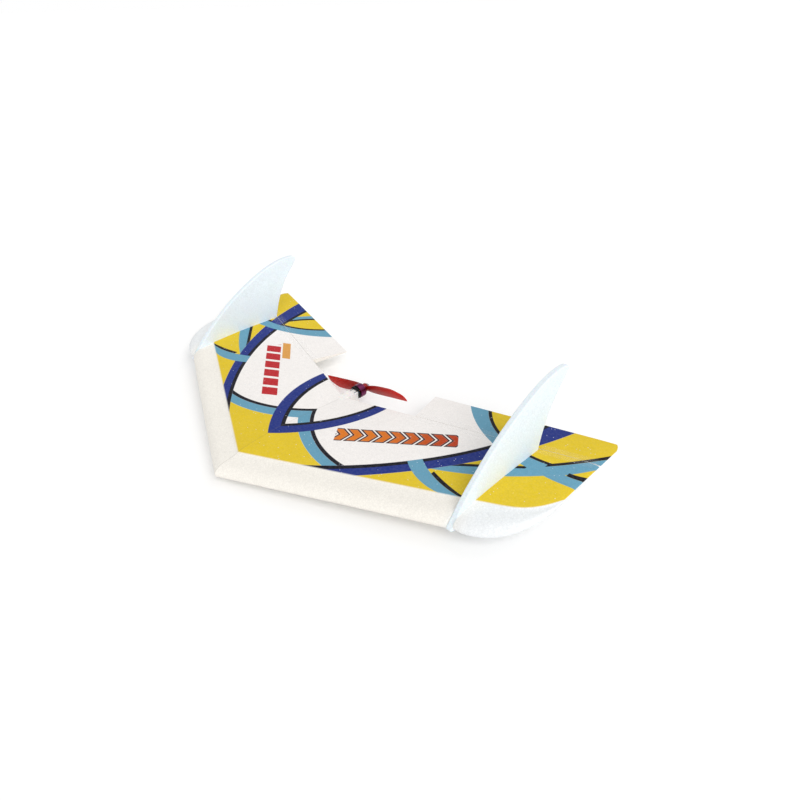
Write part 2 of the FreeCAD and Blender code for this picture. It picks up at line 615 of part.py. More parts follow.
def motor_wires(radius):
    wires = []
    for i in (-1, 0, 1):
        x = i * MOTOR_WIRE_PITCH
        wires.append(rod((x, CONTROLLER[4], MOTOR_WIRE_Z), (x, STICK_REAR, MOTOR_WIRE_Z), radius))
    return wires


def hatch():
    plate = box(-HATCH_HALF, HATCH_FRONT, BELLY_Z, HATCH_HALF, HATCH_REAR, BELLY_Z + HATCH_T)
    corners = [e for e in plate.Edges if e.BoundBox.ZLength > 1.0]
    plate = plate.makeFillet(HATCH_CORNER_R, corners)
    finger = Part.makeCylinder(FINGER_R, 5, Vector(0, HATCH_REAR + 2.5, BELLY_Z - 1))
    return plate.cut([finger] + keeper_discs(BELLY_Z + HATCH_T - MAGNET_DISC_T))


# ---- build ---------------------------------------------------------------------------------------
def build():
    os.makedirs("parts", exist_ok=True)

    panel = wing_panel()
    wires = {"left": servo_wire(1, PLUG_LEFT, SERVO_WIRE_R),
             "right": servo_wire(-1, PLUG_RIGHT, SERVO_WIRE_R)}
    write("wing_panel_left", centre(panel.cut(wires["left"])))
    buried = [wires["left"], wires["right"], antenna(ANTENNA_R)]
    write("wing_panel_right", centre(mirrored(panel).cut(buried)))
    write_pair("wingtip", wingtip())
    write_pair("fin", fin())
    flap = elevon()
    write_pair("elevon", flap)
    write_pair("hinge_tape", hinge_tape())

    tube = rod((2, SPAR_Y, SPAR_Z), (SPAR_END, SPAR_Y, SPAR_Z), SPAR_R)
    write_pair("wing_spar", tube.cut(rod((1, SPAR_Y, SPAR_Z), (SPAR_END + 1, SPAR_Y, SPAR_Z), SPAR_BORE)))
    write("spar_joiner", centre(spar_joiner(JOINER_R)))

    write_pair("servo_case", servo_case())
    write_pair("servo_lid", servo_lid())
    write_pair("servo_shaft", servo_shaft())
    write_pair("servo_arm", servo_arm())
    write_pair("servo_arm_screw", servo_arm_screw())
    write_pair("pushrod", pushrod())
    write_pair("control_horn", control_horn(flap))
    for side, wire in wires.items():
        write("servo_lead_" + side, centre(wire))

    leads = motor_wires(WIRE_R)
    write("motor_stick", centre(motor_stick(leads)))
    write("motor_leads", centre(Part.makeCompound(leads)))
    write("motor_mount", centre(motor_mount()))
    write("mount_screws", centre(Part.makeCompound(mount_screws())))
    write("motor_stator", centre(stator()))
    write("motor_windings", centre(Part.makeCompound(windings())))
    write("motor_bearings", centre(Part.makeCompound(bearings())))
    write("motor_bell", centre(bell()))
    write("motor_magnets", centre(Part.makeCompound(magnets())))
    write("motor_shaft", centre(disc(SHAFT_FRONT, SHAFT_REAR, SHAFT_R)))
    write("shaft_clip", centre(disc(SHAFT_FRONT + 0.2, SHAFT_FRONT + 0.6, 1.3, SHAFT_R)))
    write("propeller", centre(propeller()))
    write("prop_adapter", centre(adapter()))
    hub_rear = PROP_Y + HUB_T / 2
    nut_y = hub_rear + WASHER_T
    write("prop_washer", centre(disc(hub_rear, nut_y, WASHER_R, SPIGOT_R)))
    write("prop_nut", centre(hex_nut(nut_y, nut_y + NUT_T, NUT_FLAT, SPIGOT_R)))

    write("battery_pack", centre(rounded_box(BATTERY, 1.5)))
    pad = box(BATTERY[0] + 3, BATTERY[1] + 6, BATTERY[5], BATTERY[3] - 3, BATTERY[4] - 6, BAY_TOP)
    write("battery_pad", centre(pad))
    write("battery_leads", centre(Part.makeCompound(battery_wires() + controller_wires())))
    write("battery_connector", centre(box(*CONNECTOR)))
    write("speed_controller", centre(box(*CONTROLLER)))
    write("receiver", centre(box(*RECEIVER)))
    write("receiver_antenna", centre(antenna(ANTENNA_R)))
    write("belly_hatch", centre(hatch()))
    write("hatch_magnets", centre(Part.makeCompound(keeper_discs(BELLY_Z + HATCH_T - MAGNET_DISC_T))))
    write("keeper_discs", centre(Part.makeCompound(keeper_discs(KEEPER_Z))))


build()
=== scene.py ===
import json
import math

import bmesh
import bpy
from mathutils import Matrix, Vector


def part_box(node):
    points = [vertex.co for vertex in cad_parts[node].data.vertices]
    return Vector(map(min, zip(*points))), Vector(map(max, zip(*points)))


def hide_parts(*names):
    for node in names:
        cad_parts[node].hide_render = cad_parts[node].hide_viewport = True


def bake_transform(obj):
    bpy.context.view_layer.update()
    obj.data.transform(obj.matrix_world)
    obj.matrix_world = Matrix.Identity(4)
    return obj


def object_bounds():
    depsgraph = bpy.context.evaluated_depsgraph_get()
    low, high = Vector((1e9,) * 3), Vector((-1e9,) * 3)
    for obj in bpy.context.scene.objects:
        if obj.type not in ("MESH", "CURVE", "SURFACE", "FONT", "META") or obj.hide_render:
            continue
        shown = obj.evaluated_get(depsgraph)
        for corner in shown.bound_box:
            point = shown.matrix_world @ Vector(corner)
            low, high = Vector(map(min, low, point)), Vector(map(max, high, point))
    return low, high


# Looks of a small foam flying wing.  Lengths are metres in the CAD frame, except in the
# print, whose sizes are millimetres on the wing's plan: a out from the centreline on either
# side, y aft of the frame's origin.

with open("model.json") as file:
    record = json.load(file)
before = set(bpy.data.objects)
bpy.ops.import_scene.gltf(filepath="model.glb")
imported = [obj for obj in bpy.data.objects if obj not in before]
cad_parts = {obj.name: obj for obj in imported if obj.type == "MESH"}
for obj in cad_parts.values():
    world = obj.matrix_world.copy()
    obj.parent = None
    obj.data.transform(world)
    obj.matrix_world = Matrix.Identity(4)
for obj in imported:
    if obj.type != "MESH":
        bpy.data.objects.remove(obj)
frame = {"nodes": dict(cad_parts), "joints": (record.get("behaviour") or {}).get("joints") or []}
cad_low, cad_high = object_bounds()
NODES = frame["nodes"]
MM = 0.001
SIDES = ("left", "right")


# ---- colours ----
def srgb(r, g, b):
    """Linear colour with alpha from 8-bit display values."""
    def linear(v):
        v /= 255
        return v / 12.92 if v <= 0.04045 else ((v + 0.055) / 1.055) ** 2.4
    return (linear(r), linear(g), linear(b), 1.0)


FOAM_WARM = srgb(246, 242, 234)
FOAM_COOL = srgb(240, 243, 245)
FIN_WHITE = srgb(233, 243, 249)
PRINT_WHITE = srgb(247, 243, 240)
YELLOW = srgb(228, 198, 42)
DARK_BLUE = srgb(34, 52, 130)
LIGHT_BLUE = srgb(104, 160, 186)
INK_BLACK = srgb(16, 15, 26)
MARK_RED = srgb(190, 40, 46)
MARK_ORANGE = srgb(222, 160, 80)
FLAME_ORANGE = srgb(224, 122, 28)
FLAME_RED = srgb(186, 60, 18)
FLAME_EDGE = srgb(60, 26, 18)


# ---- node helpers ----
def feed(tree, socket, value):
    """Links a socket to another, or sets it to a constant."""
    if isinstance(value, bpy.types.NodeSocket):
        tree.links.new(value, socket)
    else:
        socket.default_value = value


def math_node(tree, operation, *values, clamp=False):
    node = tree.nodes.new("ShaderNodeMath")
    node.operation = operation
    node.use_clamp = clamp
    for socket, value in zip(node.inputs, values):
        feed(tree, socket, value)
    return node.outputs[0]


def mix_colour(tree, factor, under, over, blend="MIX"):
    node = tree.nodes.new("ShaderNodeMix")
    node.data_type = "RGBA"
    node.blend_type = blend
    feed(tree, node.inputs["Factor"], factor)
    feed(tree, node.inputs["A"], under)
    feed(tree, node.inputs["B"], over)
    return node.outputs["Result"]


def object_place(tree):
    return tree.nodes.new("ShaderNodeTexCoord").outputs["Object"]


def noise(tree, scale, detail=2.0, vector=None):
    node = tree.nodes.new("ShaderNodeTexNoise")
    node.inputs["Scale"].default_value = scale
    node.inputs["Detail"].default_value = detail
    feed(tree, node.inputs["Vector"], vector or object_place(tree))
    return node.outputs["Fac"]


def beads(tree, size, feature="F1"):
    """Voronoi cells about size apart: distance from the middle of a cell, or to its edge."""
    node = tree.nodes.new("ShaderNodeTexVoronoi")
    node.feature = feature
    node.inputs["Scale"].default_value = 1 / size
    feed(tree, node.inputs["Vector"], object_place(tree))
    return node


def ramp(tree, factor, low, high):
    """0 below low and 1 above high, smooth between."""
    node = tree.nodes.new("ShaderNodeMapRange")
    node.interpolation_type = "SMOOTHSTEP"
    node.inputs["From Min"].default_value = low
    node.inputs["From Max"].default_value = high
    feed(tree, node.inputs["Value"], factor)
    return node.outputs["Result"]


def split_vector(tree, vector):
    node = tree.nodes.new("ShaderNodeSeparateXYZ")
    feed(tree, node.inputs[0], vector)
    return node.outputs


def first_channel(tree, colour):
    node = tree.nodes.new("ShaderNodeSeparateColor")
    feed(tree, node.inputs[0], colour)
    return node.outputs[0]


def stretched_place(tree, scale):
    """Object coordinates scaled along each axis, for a grain that runs one way."""
    node = tree.nodes.new("ShaderNodeVectorMath")
    node.operation = "MULTIPLY"
    feed(tree, node.inputs[0], object_place(tree))
    node.inputs[1].default_value = scale
    return node.outputs[0]


def distance_from(tree, vector, place):
    """How far a vector is from a fixed place."""
    node = tree.nodes.new("ShaderNodeVectorMath")
    node.operation = "DISTANCE"
    feed(tree, node.inputs[0], vector)
    node.inputs[1].default_value = place
    return node.outputs["Value"]


def bands_along_y(tree, scale):
    """Fine even bands, one after another along y."""
    wave = tree.nodes.new("ShaderNodeTexWave")
    wave.bands_direction = "Y"
    wave.inputs["Scale"].default_value = scale
    feed(tree, wave.inputs["Vector"], object_place(tree))
    return wave.outputs["Fac"]


def times(tree, first, second):
    return math_node(tree, "MULTIPLY", first, second)


def between(tree, factor, low, high):
    """A value that goes from low to high as factor goes from 0 to 1."""
    return math_node(tree, "MULTIPLY_ADD", factor, high - low, low)


def paint(tree, shader, factor, first, second):
    """Base colour from first to second as factor goes from 0 to 1."""
    feed(tree, shader.inputs["Base Color"], mix_colour(tree, factor, first, second))


def roughen(tree, shader, factor, low, high):
    """Roughness from low to high as factor goes from 0 to 1."""
    feed(tree, shader.inputs["Roughness"], between(tree, factor, low, high))


def emboss(tree, shader, height, depth, strength):
    """Bump relief, depth metres deep for each unit of height."""
    node = tree.nodes.new("ShaderNodeBump")
    node.inputs["Strength"].default_value = strength
    feed(tree, node.inputs["Distance"], depth)
    feed(tree, node.inputs["Height"], height)
    feed(tree, shader.inputs["Normal"], node.outputs["Normal"])


def darker(colour, share):
    """A share of a colour's light."""
    return tuple(share * c for c in colour[:3]) + (1.0,)


def new_material(name, **uniform):
    """A material with one principled shader, and its uniform values set on the sockets."""
    material = bpy.data.materials.new(name)
    material.use_nodes = True
    shader = material.node_tree.nodes["Principled BSDF"]
    for socket, value in uniform.items():
        shader.inputs[socket.replace("_", " ")].default_value = value
    return material, material.node_tree, shader


# ---- the print's drawing ----
# Arcs are (a, y, radius) of whole circles whose edges bound the coloured bands: OUT and IN
# are a band's two edges, and its black line lies between IN and LINE.
ARCH_OUT = (-82.9, 78.1, 132.8)
ARCH_IN = (-92.2, 84.2, 128.7)
ARCH_LINE = (-92.2, 84.2, 132.5)
HOOP_OUT = (77.0, 92.8, 113.1)
HOOP_LINE = (80.7, 91.9, 103.2)
HOOP_IN = (80.7, 91.9, 99.4)
RIBBON_OUT = (-163.2, 266.1, 384.0)
RIBBON_LINE = (-117.2, 216.7, 307.8)
RIBBON_IN = (-117.2, 216.7, 303.8)
SHOULDER_OUT = (161.9, 83.5, 62.0)
SHOULDER_IN = (182.4, 121.7, 91.7)
SHOULDER_LINE = (197.7, 191.5, 159.3)
SLASH_OUT = (19.1, 289.0, 280.2)
CROSS_OUT = (212.1, 236.4, 140.0)
CROSS_IN = (200.7, 202.5, 92.4)
CROSS_LINE = (200.7, 202.5, 89.0)
CORNER_OUT = (225.1, 155.8, 59.3)
CORNER_IN = (234.6, 133.9, 24.4)
CORNER_LINE = (233.6, 135.9, 21.6)
TAIL_OUT = (136.4, 181.7, 122.4)
TAIL_IN = (27.6, 274.0, 252.1)
TAIL_LINE = (27.6, 274.0, 248.7)
# The slash's straight edge runs between two points (a, y), and has a black line on it.
SLASH_FROM, SLASH_TO, SLASH_HALF = (159.0, 58.0), (206.0, 96.5), 1.7
# Stations out from the centreline where a shape starts or stops.
SHOULDER_FROM, SHOULDER_TO = 151.5, 195.0
CROSS_TO, CROSS_LINE_TO = 225.0, 219.0
TAIL_FROM, TAIL_LINE_FROM = 215.0, 217.0
CORNER_FROM = 236.5
CORNER_REAR = 125.0                           # y where the corner's line stops
CREASE_ROOT, CREASE_SLOPE = -58.7, 0.475      # front edge of the print
TIP_START, TIP_WIDTH, TIP_POWER, TIP_SWEEP = 199.0, 51.0, 5.0, 27.0
INK_EDGE = 0.45                               # softness of an edge of ink
CREASE_EDGE = 1.6                             # softer where the ink thins out at the crease


class Mask:
    """A 0 to 1 socket on the wing's plan, combined with & | and ~."""

    def __init__(self, tree, socket):
        self.tree, self.socket = tree, socket

    def __and__(self, other):
        return Mask(self.tree, math_node(self.tree, "MULTIPLY", self.socket, other.socket))

    def __or__(self, other):
        return Mask(self.tree, math_node(self.tree, "MAXIMUM", self.socket, other.socket))

    def __invert__(self):
        return Mask(self.tree, math_node(self.tree, "SUBTRACT", 1.0, self.socket))


class Plan:
    """The wing's plan inside a material, in millimetres."""

    def __init__(self, tree):
        self.tree = tree
        place = split_vector(tree, object_place(tree))
        self.x = math_node(tree, "DIVIDE", place["X"], MM)
        self.y = math_node(tree, "DIVIDE", place["Y"], MM)
        self.a = math_node(tree, "ABSOLUTE", self.x)
        join = tree.nodes.new("ShaderNodeCombineXYZ")
        feed(tree, join.inputs["X"], self.a)
        feed(tree, join.inputs["Y"], self.y)
        self.point = join.outputs[0]

    def over(self, value, limit, edge=INK_EDGE):
        """1 where value is above limit."""
        level = math_node(self.tree, "MULTIPLY_ADD", value, 1 / edge, 0.5 - limit / edge, clamp=True)
        return Mask(self.tree, level)

    def inside(self, circle):
        a, y, radius = circle
        return ~self.over(distance_from(self.tree, self.point, (a, y, 0)), radius)

    def beyond(self, a):
        """Outboard of station a."""
        return self.over(self.a, a)

    def local(self, start, end):
        """Distances along and across (to the rear) from start towards end."""
        heading = (Vector(end) - Vector(start)).normalized()
        da = math_node(self.tree, "SUBTRACT", self.a, start[0])
        dy = math_node(self.tree, "SUBTRACT", self.y, start[1])
        along = math_node(self.tree, "MULTIPLY_ADD", da, heading.x, times(self.tree, dy, heading.y))
        side = math_node(self.tree, "MULTIPLY_ADD", dy, heading.x, times(self.tree, da, -heading.y))
        return along, side

    def span(self, value, low, high):
        return self.over(value, low) & ~self.over(value, high)

    def crease(self):
        """Behind the front edge of the print, which curves back at the tip."""
        out = math_node(self.tree, "SUBTRACT", self.a, TIP_START)
        share = math_node(self.tree, "MAXIMUM", math_node(self.tree, "DIVIDE", out, TIP_WIDTH), 0.0)
        curve = math_node(self.tree, "POWER", share, TIP_POWER)
        edge = math_node(self.tree, "MULTIPLY_ADD", self.a, CREASE_SLOPE, CREASE_ROOT)
        edge = math_node(self.tree, "MULTIPLY_ADD", curve, TIP_SWEEP, edge)
        return self.over(math_node(self.tree, "SUBTRACT", self.y, edge), 0.0, CREASE_EDGE)


def print_layers(plan):
    """The print as (colour, mask), painted in this order."""
    inside = plan.inside
    field = inside(RIBBON_IN)
    outboard = ~inside(RIBBON_OUT)
    hoop = inside(HOOP_OUT) & field
    arch = inside(ARCH_OUT) & ~inside(ARCH_IN)
    behind_slash = plan.local(SLASH_FROM, SLASH_TO)[1]
    slash_line = plan.span(behind_slash, -SLASH_HALF, SLASH_HALF) & ~plan.beyond(SLASH_TO[0])
    slash_side = ~plan.over(behind_slash, 0.0) | plan.beyond(SLASH_TO[0])
    slash = inside(SLASH_OUT) & slash_side & ~inside(CROSS_IN) & outboard
    shoulder_end = ~plan.beyond(SHOULDER_TO)
    shoulder = inside(SHOULDER_OUT) & ~inside(SHOULDER_IN) & ~field & shoulder_end
    shoulder_line = inside(SHOULDER_IN) & ~inside(SHOULDER_LINE)
    shoulder_line = shoulder_line & plan.beyond(SHOULDER_FROM) & shoulder_end
    cross = inside(CROSS_OUT) & ~inside(CROSS_IN) & ~plan.beyond(CROSS_TO)
    cross_line = inside(CROSS_IN) & ~inside(CROSS_LINE)
    cross_line = cross_line & (field | outboard) & ~plan.beyond(CROSS_LINE_TO)
    tail = ~inside(TAIL_IN) & inside(CORNER_OUT) & plan.beyond(TAIL_FROM)
    tail_gap = ~inside(TAIL_OUT) & inside(CORNER_IN)
    tail_line = inside(TAIL_IN) & ~inside(TAIL_LINE) & inside(CORNER_OUT)
    tail_line = tail_line & plan.beyond(TAIL_LINE_FROM)
    corner_line = inside(CORNER_IN) & ~inside(CORNER_LINE)
    corner_line = corner_line & plan.beyond(CORNER_FROM) & ~plan.over(plan.y, CORNER_REAR)
    return [
        (YELLOW, outboard | (~hoop & field & ~inside(HOOP_OUT)) | (field & inside(CROSS_IN))),
        (LIGHT_BLUE, hoop & ~inside(HOOP_LINE)),
        (INK_BLACK, hoop & inside(HOOP_LINE) & ~inside(HOOP_IN)),
        (PRINT_WHITE, inside(ARCH_IN) & ~hoop),
        (DARK_BLUE, arch),
        (INK_BLACK, arch & inside(ARCH_LINE)),
        (DARK_BLUE, ~field & ~outboard),
        (INK_BLACK, ~field & inside(RIBBON_LINE)),
        (LIGHT_BLUE, slash),
        (INK_BLACK, slash_line & outboard),
        (LIGHT_BLUE, shoulder),
        (INK_BLACK, shoulder_line),
        (LIGHT_BLUE, cross),
        (INK_BLACK, cross_line),
        (LIGHT_BLUE, tail),
        (YELLOW, tail_gap),
        (INK_BLACK, corner_line),
        (INK_BLACK, tail_line),
    ]


# Plain slanted bars on the right-hand panel, and a stripe beside them.
BARS_FROM, BARS_TO = (51.0, 12.0), (137.0, 80.0)
BARS_RUN, BARS_HALF = 109.0, 8.0
BAR_SLANT, BAR_HALF_STEP, BAR_GAP = 0.3, 9.0, 2.0
STRIPE_RUN, STRIPE_SIDE = (80.0, 116.0), (10.0, 19.0)


def bar_layers(plan):
    right_hand = ~plan.over(plan.x, 0.0)
    along, side = plan.local(BARS_FROM, BARS_TO)
    slant = math_node(plan.tree, "MULTIPLY_ADD", side, BAR_SLANT, along)
    step = math_node(plan.tree, "PINGPONG", slant, BAR_HALF_STEP)
    row = plan.span(along, 0.0, BARS_RUN) & plan.span(side, -BARS_HALF, BARS_HALF)
    bars = row & plan.over(step, BAR_GAP)
    stripe = plan.span(slant, *STRIPE_RUN) & plan.span(side, *STRIPE_SIDE)
    return [(MARK_RED, bars & right_hand), (MARK_ORANGE, stripe & right_hand)]


# A row of chevrons on the left-hand panel, darker towards the tip.
ROW_FROM, ROW_TO = (50.0, 18.0), (133.0, 82.0)
ROW_RUN, ROW_HALF = (-2.0, 112.0), 10.0
CHEVRON_FOLD, CHEVRON_HALF_STEP = 0.75, 6.6
CHEVRON_RIM, CHEVRON_BODY, BODY_HALF = 0.9, 2.9, 8.6
FLAME_RUN = (20.0, 115.0)


def chevron_layers(plan):
    left_hand = plan.over(plan.x, 0.0)
    along, side = plan.local(ROW_FROM, ROW_TO)
    away = math_node(plan.tree, "ABSOLUTE", side)
    fold = math_node(plan.tree, "MULTIPLY_ADD", away, CHEVRON_FOLD, along)
    row = plan.span(along, *ROW_RUN) & plan.span(side, -ROW_HALF, ROW_HALF) & left_hand
    tooth = math_node(plan.tree, "PINGPONG", fold, CHEVRON_HALF_STEP)
    body = plan.over(tooth, CHEVRON_BODY) & plan.span(side, -BODY_HALF, BODY_HALF)
    rim = plan.over(tooth, CHEVRON_RIM) & ~body
    flame = mix_colour(plan.tree, ramp(plan.tree, along, *FLAME_RUN), FLAME_ORANGE, FLAME_RED)
    return [(FLAME_EDGE, row & rim), (flame, row & body)]


# ---- foam ----
BEAD = 2.2 * MM
BEAD_EDGE = 0.12                              # share of a bead that is its darker rim
DOME, PITTING = 0.9, 0.6                      # shares of the beads and of the grain in the relief
FOAM_RELIEF = 0.25 * MM
WING_RELIEF, INK_FILLS = 0.6 * MM, 0.35 * MM  # bare wing, and what the ink takes off that
WARM_TO, COOL_FROM = 185.0, 215.0             # bare foam turns cooler towards the tips
TOP_FACING, TOP_EDGE = 0.45, 0.2              # how level a face is to carry the print
SEAM_HALF, SEAM_DARK = 0.25, 0.3              # the glued joint between the two panels
GLUE = srgb(120, 112, 100)
# Pits that the ink missed: how far apart they could be, how wide against that, the chance
# that one of them was filled after all, and how pale the rest are.
SPECK, SPECK_SIZE, SPECK_FILLED, SPECK_SHARE = 3.1 * MM, 0.13, 0.76, 0.75
MISSED_PIT, WORN_INK = srgb(225, 230, 240), srgb(205, 205, 210)
MOTTLE_GAIN, MOTTLE_START, WORN_SHARE = 0.5, -0.16, 0.22


def foam_surface(tree, shader, colour, relief):
    """Adds the bead grain of cut foam: faint cells, pits and a soft skin."""
    cell = beads(tree, BEAD, "SMOOTH_F1")
    edges = beads(tree, BEAD, "DISTANCE_TO_EDGE").outputs["Distance"]
    grain = noise(tree, 900.0, detail=3.0)
    tint = between(tree, ramp(tree, edges, 0.0, BEAD_EDGE), 0.93, 1.0)
    tint = times(tree, tint, between(tree, noise(tree, 45.0), 0.975, 1.025))
    own_tint = first_channel(tree, cell.outputs["Color"])
    tint = times(tree, tint, between(tree, own_tint, 0.97, 1.02))
    shade = tree.nodes.new("ShaderNodeCombineColor")
    for socket in shade.inputs[:3]:
        feed(tree, socket, tint)
    shaded = mix_colour(tree, 1.0, colour, shade.outputs[0], "MULTIPLY")
    feed(tree, shader.inputs["Base Color"], shaded)
    pits = times(tree, grain, PITTING)
    height = math_node(tree, "MULTIPLY_ADD", cell.outputs["Distance"], -DOME, pits)
    emboss(tree, shader, height, relief, strength=0.8)
    roughen(tree, shader, grain, 0.62, 0.80)


def white_foam(name, colour):
    material, tree, shader = new_material(name, Specular_IOR_Level=0.25, Subsurface_Weight=0.08,
                                          Subsurface_Scale=0.004)
    foam_surface(tree, shader, colour, FOAM_RELIEF)
    return material


def printed_foam():
    """Wing foam: bare in front of the crease, underneath and on the edges, printed on top."""
    material, tree, shader = new_material("printed_foam", Specular_IOR_Level=0.12)
    plan = Plan(tree)
    bare = mix_colour(tree, ramp(tree, plan.a, WARM_TO, COOL_FROM), FOAM_WARM, FOAM_COOL)
    colour = PRINT_WHITE
    for ink, mask in print_layers(plan) + bar_layers(plan) + chevron_layers(plan):
        colour = mix_colour(tree, mask.socket, colour, ink)
    colour = inked(tree, colour)
    normal = split_vector(tree, tree.nodes.new("ShaderNodeTexCoord").outputs["Normal"])
    top = plan.crease() & plan.over(normal["Z"], TOP_FACING, TOP_EDGE)
    colour = mix_colour(tree, top.socket, bare, colour)
    seam = times(tree, (~plan.beyond(SEAM_HALF)).socket, SEAM_DARK)
    colour = mix_colour(tree, seam, colour, GLUE)
    relief = math_node(tree, "MULTIPLY_ADD", top.socket, -INK_FILLS, WING_RELIEF)
    foam_surface(tree, shader, colour, relief)
    return material


def inked(tree, colour):
    """Ink on foam: a fine mottle, and pale specks where it missed a pit."""
    speck = beads(tree, SPECK)
    pit = math_node(tree, "LESS_THAN", speck.outputs["Distance"], SPECK_SIZE)
    chance = first_channel(tree, speck.outputs["Color"])
    missed = times(tree, pit, math_node(tree, "GREATER_THAN", chance, SPECK_FILLED))
    fine = noise(tree, 420.0, detail=4.0)
    mottle = math_node(tree, "MULTIPLY_ADD", fine, MOTTLE_GAIN, MOTTLE_START, clamp=True)
    colour = mix_colour(tree, times(tree, mottle, WORN_SHARE), colour, WORN_INK)
    return mix_colour(tree, times(tree, missed, SPECK_SHARE), colour, MISSED_PIT)


# ---- other materials ----
def clear_tape():
    material, tree, shader = new_material("clear_tape", Roughness=0.3, Alpha=0.025,
                                          Specular_IOR_Level=0.3)
    streak = noise(tree, 260.0)
    paint(tree, shader, streak, srgb(236, 240, 244), srgb(252, 252, 252))
    emboss(tree, shader, streak, 0.02 * MM, strength=0.4)
    return material


def moulded(name, colour, rough):
    """Moulded plastic with a faint texture and colour drift."""
    material, tree, shader = new_material(name, Specular_IOR_Level=0.5)
    drift = noise(tree, 160.0, detail=3.0)
    paint(tree, shader, drift, darker(colour, 0.82), colour)
    emboss(tree, shader, noise(tree, 2600.0), 0.03 * MM, strength=0.6)
    roughen(tree, shader, drift, rough - 0.08, rough + 0.08)
    return material


def metal(name, colour, rough=0.28, brushed=(1.0, 1.0, 1.0)):
    """Worked metal; brushed squeezes the grain so that it runs along one axis."""
    material, tree, shader = new_material(name, Metallic=1.0)
    grain = noise(tree, 1800.0, detail=3.0, vector=stretched_place(tree, brushed))
    paint(tree, shader, grain, darker(colour, 0.7), colour)
    roughen(tree, shader, grain, rough - 0.12, rough + 0.18)
    emboss(tree, shader, grain, 0.02 * MM, strength=0.5)
    return material


def carbon():
    """Carbon tube with its fibres along x."""
    material, tree, shader = new_material("carbon_tube", Coat_Weight=0.4, Coat_Roughness=0.15)
    fibre = noise(tree, 5200.0, vector=stretched_place(tree, (0.05, 1.0, 1.0)))
    paint(tree, shader, fibre, srgb(16, 16, 18), srgb(58, 58, 62))
    roughen(tree, shader, fibre, 0.3, 0.55)
    return material


def wound_copper():
    """Enamelled wire laid side by side on the teeth."""
    material, tree, shader = new_material("copper_wire", Metallic=0.85, Coat_Weight=0.5,
                                          Roughness=0.3)
    turns = bands_along_y(tree, 900.0)
    paint(tree, shader, turns, srgb(120, 52, 22), srgb(214, 120, 66))
    emboss(tree, shader, turns, 0.12 * MM, strength=0.8)
    return material


def laminated_iron():
    """The stator's stack of thin plates."""
    material, tree, shader = new_material("stator_iron", Metallic=0.9, Roughness=0.45)
    plates = bands_along_y(tree, 1400.0)
    paint(tree, shader, plates, srgb(70, 70, 76), srgb(140, 140, 146))
    emboss(tree, shader, plates, 0.05 * MM, strength=0.8)
    return material


def sleeve(name, colour, rough=0.35):
    """Soft wire or shrink sleeve."""
    material, tree, shader = new_material(name, Specular_IOR_Level=0.5, Coat_Weight=0.12)
    wrinkle = noise(tree, 320.0, detail=3.0)
    paint(tree, shader, wrinkle, darker(colour, 0.72), colour)
    emboss(tree, shader, wrinkle, 0.25 * MM, strength=0.45)
    roughen(tree, shader, wrinkle, rough - 0.1, rough + 0.1)
    return material


def hook_loop():
    material, tree, shader = new_material("hook_loop", Sheen_Weight=0.6, Roughness=0.95)
    pile = beads(tree, 0.5 * MM).outputs["Distance"]
    paint(tree, shader, pile, srgb(20, 20, 22), srgb(62, 62, 66))
    emboss(tree, shader, pile, 0.3 * MM, strength=0.9)
    return material


HUB_REACH, BLADE_REACH = 4 * MM, 60 * MM      # painted shade darkens the red at the hub and fades out between these radii
HUB_SHADE_RED, BLADE_RED, FLOW_RED = srgb(140, 16, 10), srgb(214, 30, 14), srgb(176, 20, 10)


def red_propeller():
    """Glossy red nylon, with painted shade that darkens it towards the hub."""
    material, tree, shader = new_material("prop_red", Specular_IOR_Level=0.25, Coat_Weight=0.12,
                                          Coat_Roughness=0.15)
    low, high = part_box("propeller")
    reach = distance_from(tree, object_place(tree), (low + high) / 2)
    # painted shade: the red is darkest at the hub and lightens out along the blades
    colour = mix_colour(tree, ramp(tree, reach, HUB_REACH, BLADE_REACH), HUB_SHADE_RED, BLADE_RED)
    flow = noise(tree, 120.0, detail=3.0)
    paint(tree, shader, times(tree, flow, 0.5), colour, FLOW_RED)
    roughen(tree, shader, flow, 0.24, 0.44)
    emboss(tree, shader, noise(tree, 900.0), 0.03 * MM, strength=0.5)
    return material


def dress(nodes, material):
    """Gives a material to CAD nodes, and to the left and right ones of a pair."""
    for name in nodes:
        for full in (name, name + "_left", name + "_right"):
            if full in NODES:
                mesh = NODES[full].data
                mesh.materials.clear()
                mesh.materials.append(material)


